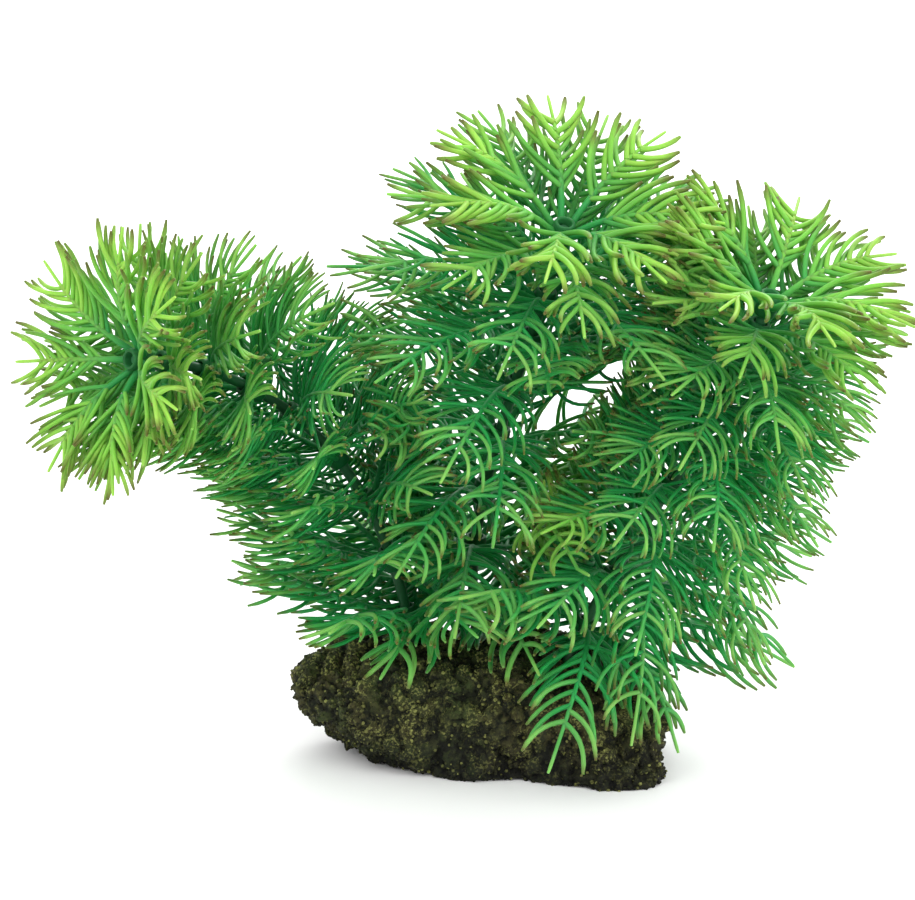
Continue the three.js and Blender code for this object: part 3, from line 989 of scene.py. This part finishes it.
class WaterweedSettings(bpy.types.PropertyGroup):
    """Sizes and colours of the plant that a user would change."""

    barb_pairs: count_setting("Barb Pairs", "Pairs of barbs on each frond's rib", 16)
    crown_barb_pairs: count_setting("Crown Barb Pairs", "Pairs of barbs on each frond's rib in a crown", 8)
    barb_length: length_setting("Barb Length", "Length of the longest barbs", 0.015)
    crown_barb_length: length_setting("Crown Barb Length", "Length of the longest barbs in a crown", 0.014)
    tip_barb: length_setting(
        "Tip Barb", "Length of the barb that carries a rib on past its last pair", 0.005
    )
    barb_radius: length_setting("Barb Radius", "Radius of a barb where it leaves its rib", 0.0004)
    crown_barb_radius: length_setting(
        "Crown Barb Radius", "Radius of a crown's barb where it leaves its rib", 0.0006
    )
    rib_radius: length_setting("Rib Radius", "Radius of a rib at its sleeve", 0.0007)
    leaving_angle: angle_setting("Leaving Angle", "Angle between a barb and its rib where it leaves", 68)
    reaching_angle: angle_setting(
        "Reaching Angle", "Angle between a rib and the line from a barb's foot to its end", 40
    )
    foot_spread: share_setting(
        "Foot Spread", "The lowest whorls' barb angles, as a share of the others'", 1.05
    )
    crown_spread: share_setting(
        "Crown Spread", "A crown's barb angles, as a share of the other whorls'", 0.8
    )
    barb_hang: share_setting(
        "Barb Hang", "How far the lowest whorls' barbs bend down under their own weight", 0.45
    )
    barb_rise: share_setting(
        "Barb Rise", "How far a barb arches above its ends, as a share of its length", 0.1
    )
    barb_tilt: angle_setting("Barb Tilt", "How unevenly the barbs of a frond tilt about its rib", 24)
    barb_swing: angle_setting("Barb Swing", "How unevenly the barbs of a frond point along its rib", 10)
    barb_droop: angle_setting("Barb Droop", "How far the barbs hang below the rib's own plane", 8)
    barb_overlap: angle_setting("Barb Overlap", "How far a frond's barbs reach past its own sector", 7)
    interleave: length_setting("Interleave", "How far a stem's fronds reach in among the next stem's", 0.009)
    stone_relief: length_setting("Stone Relief", "Depth of the pits and lumps in the rock", 0.0016)
    deep_green: colour_setting("Deep Green", "Leaf colour near the sleeves", (0.01, 0.225, 0.055))
    bright_green: colour_setting("Bright Green", "Leaf colour half way out", (0.02, 0.3, 0.06))
    # Also painted as backlight in the glow patch low between the middle and the right stem
    fresh_green: colour_setting("Fresh Green", "Leaf colour in the crowns", (0.28, 0.54, 0.05))
    leaf_olive: colour_setting("Leaf Olive", "Leaf colour far out on a frond", (0.26, 0.42, 0.09))
    end_brown: colour_setting("End Brown", "Colour of the barbs' ends", (0.1, 0.09, 0.022))
    rod_green: colour_setting("Rod Green", "Colour of the rods", (0.008, 0.1, 0.028))
    # Painted shade for the rock's pits and hollows
    stone_pit_shade: colour_setting("Stone Dark", "Colour of the rock's pits", (0.006, 0.008, 0.003))
    stone_olive: colour_setting("Stone Olive", "Colour of most of the rock", (0.032, 0.046, 0.012))
    stone_brown: colour_setting("Stone Brown", "Colour of the rock's warmer patches", (0.045, 0.042, 0.013))
    stone_pale: colour_setting("Stone Pale", "Colour of the rock's specks", (0.27, 0.28, 0.08))


class WATERWEED_OT_fronds(bpy.types.Operator):
    """Grow every whorl of fronds, with its ribs, barbs and sleeve"""

    bl_idname = "waterweed.fronds"
    bl_label = "Grow Fronds"

    def execute(self, context):
        settings = context.scene.waterweed
        tree = frond_tree()
        group = leaf_colour_group()
        materials = {
            "foliage": leaf_material("leaf plastic", group, settings),
            "crown_foliage": leaf_material("crown leaf plastic", group, settings),
        }
        for index in range(len(STEMS)):
            for number in range(WHORLS):
                place = Place(index, number)
                slot = "crown_foliage" if place.is_crown else "foliage"
                leaving, reaching = place.barb_angles(settings)
                radius = place.between(settings.barb_radius, settings.crown_barb_radius)
                values = {
                    "Material": materials[slot],
                    "Barb Radius": radius / place.fineness,
                    "Leaving Angle": leaving,
                    "Reaching Angle": reaching,
                    "Barb Rise": settings.barb_rise,
                }
                piece = grown(WhorlSeed(place, settings).mesh, place.node + "_fronds", tree, values)
                add_sleeve(piece, place)
                finished(piece, slot, place.node)
        return {"FINISHED"}


class WATERWEED_OT_rods(bpy.types.Operator):
    """Sweep the round rods that the whorls are threaded on"""

    bl_idname = "waterweed.rods"
    bl_label = "Sweep Rods"

    def execute(self, context):
        material = rod_material(context.scene.waterweed)
        tree = frond_tree()
        for stem, route in zip(STEMS, ROUTES):
            node = stem["name"] + "_rod"
            piece = grown(rod_seed(route), node + "_round", tree, {"Material": material})
            finished(piece, "stem", node)
        return {"FINISHED"}


class WATERWEED_OT_rock(bpy.types.Operator):
    """Weather the rock base and bed its grains"""

    bl_idname = "waterweed.rock"
    bl_label = "Weather Rock"

    weld = 1e-6
    voxel = 0.0006
    softening, softening_rounds = 0.5, 6
    lump_scale, lump_depth, highest_lump = 0.13, 1.3, 0.5
    octaves = ((0.27, 1.0), (0.6, 0.6), (1.2, 0.3))
    ridge_gain, ridge_floor = 2.2, 0.7
    relief_at_floor, full_relief_from = 0.25, 1.5

    def execute(self, context):
        settings = context.scene.waterweed
        group = stone_colour_group()
        rock = self.weathered(settings)
        rock.data.materials.clear()
        rock.data.materials.append(stone_material("cast stone", group, settings, grainy=False))
        values = {"Material": stone_material("stone grains", group, settings, grainy=True)}
        grains = grown(rock.data.copy(), "rock_grains", grain_tree(), values)
        self.keep_above_floor(grains.data)
        finished(rock, "rock", "rock_base")
        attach(grains, "root")
        return {"FINISHED"}

    def evenly_meshed(self):
        """The solid rock's own form, remeshed finely and smoothed."""
        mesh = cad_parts["rock_base"].data.copy()
        merged = bmesh.new()
        merged.from_mesh(mesh)
        bmesh.ops.remove_doubles(merged, verts=merged.verts, dist=self.weld)
        merged.to_mesh(mesh)
        merged.free()
        rough = placed_object("rough", mesh)
        remesh = rough.modifiers.new("even", "REMESH")
        remesh.mode = "VOXEL"
        remesh.voxel_size = self.voxel
        smooth = rough.modifiers.new("soften", "SMOOTH")
        smooth.factor = self.softening
        smooth.iterations = self.softening_rounds
        return plain_mesh(rough)

    def weathered(self, settings):
        """The rock, moved in and out by a broad lump and three sizes of ridge."""
        even = self.evenly_meshed()
        raised = []
        normals = [vert.normal.copy() for vert in even.vertices]
        for vert, normal in zip(even.vertices, normals):
            here = vert.co / MM
            broad = self.lump_depth * noise.noise(here * self.lump_scale)
            ridges = 0.0
            for scale, depth in self.octaves:
                ridges += depth * (self.ridge_gain * abs(noise.noise(here * scale)) - self.ridge_floor)
            up = min(1.0, here.z / self.full_relief_from)
            foot = self.relief_at_floor + (1 - self.relief_at_floor) * up
            vert.co += normal * (settings.stone_relief * min(broad + ridges, self.highest_lump) * foot)
            raised.append(ridges)
        even.attributes.new("raised", "FLOAT", "POINT").data.foreach_set("value", raised)
        self.keep_above_floor(even)
        for polygon in even.polygons:
            polygon.use_smooth = True
        even.name = "rock_weathered"
        return placed_object("rock_weathered", even)

    @staticmethod
    def keep_above_floor(mesh):
        for vert in mesh.vertices:
            vert.co.z = max(vert.co.z, 0.0)


class WATERWEED_OT_stage(bpy.types.Operator):
    """Set the floor, the lights and the camera"""

    bl_idname = "waterweed.stage"
    bl_label = "Set Stage"

    elevation = 15
    distance = 1.1
    lens = 231
    clip_end = 20
    centre = Vector((-0.004, 0, 0.059))
    floor_size = 8
    floor_paint = {"Base Color": (0.9, 0.9, 0.9, 1), "Roughness": 0.9}
    sky = {"Color": (1, 1, 1, 1), "Strength": 1.12}
    lamps = (
        ("key", (-0.35, -0.55, 0.75), 0.6, 3.8),
        ("fill", (0.6, -0.5, 0.35), 0.7, 3.5),
        ("rim", (0.1, 0.6, 0.6), 0.6, 5.0),
    )

    def execute(self, context):
        scene = context.scene
        bpy.ops.mesh.primitive_plane_add(size=self.floor_size, location=(0, 0, 0))
        floor = context.object
        floor.name = "floor"
        paper, shader, skin = new_material("floor paper")
        shader.feed(skin, self.floor_paint)
        floor.data.materials.append(paper)
        world = bpy.data.worlds.new("studio")
        world.use_nodes = True
        Nodes(world.node_tree).feed(world.node_tree.nodes["Background"], self.sky)
        scene.world = world
        scene.view_settings.view_transform = "Standard"
        for name, spot, size, power in self.lamps:
            lamp = bpy.data.lights.new(name, "AREA")
            lamp.size = size
            lamp.energy = power
            holder = placed_object(name, lamp)
            holder.location = spot
            holder.rotation_euler = (self.centre - Vector(spot)).to_track_quat("-Z", "Y").to_euler()
        camera = placed_object("camera", bpy.data.cameras.new("camera"))
        tilt = math.radians(self.elevation)
        back = Vector((0, -math.cos(tilt), math.sin(tilt)))
        camera.location = self.centre + back * self.distance
        camera.rotation_euler = (-back).to_track_quat("-Z", "Y").to_euler()
        camera.data.lens = self.lens
        camera.data.clip_end = self.clip_end
        scene.camera = camera
        return {"FINISHED"}


class WATERWEED_PT_panel(bpy.types.Panel):
    """Lists the plant's operators and settings"""

    bl_idname = "WATERWEED_PT_panel"
    bl_label = "Waterweed"
    bl_space_type = "VIEW_3D"
    bl_region_type = "UI"
    bl_category = "Waterweed"

    def draw(self, context):
        column = self.layout.column()
        for operator in OPERATORS:
            column.operator(operator.bl_idname)
        for name in WaterweedSettings.__annotations__:
            column.prop(context.scene.waterweed, name)


OPERATORS = (WATERWEED_OT_rock, WATERWEED_OT_rods, WATERWEED_OT_fronds, WATERWEED_OT_stage)
CLASSES = (WaterweedSettings, *OPERATORS, WATERWEED_PT_panel)


def register():
    for cls in CLASSES:
        bpy.utils.register_class(cls)
    bpy.types.Scene.waterweed = bpy.props.PointerProperty(type=WaterweedSettings)


def unregister():
    del bpy.types.Scene.waterweed
    for cls in reversed(CLASSES):
        bpy.utils.unregister_class(cls)


def main():
    register()
    bpy.ops.waterweed.rock()
    bpy.ops.waterweed.rods()
    bpy.ops.waterweed.fronds()
    bpy.ops.waterweed.stage()


if __name__ == "__main__":
    main()
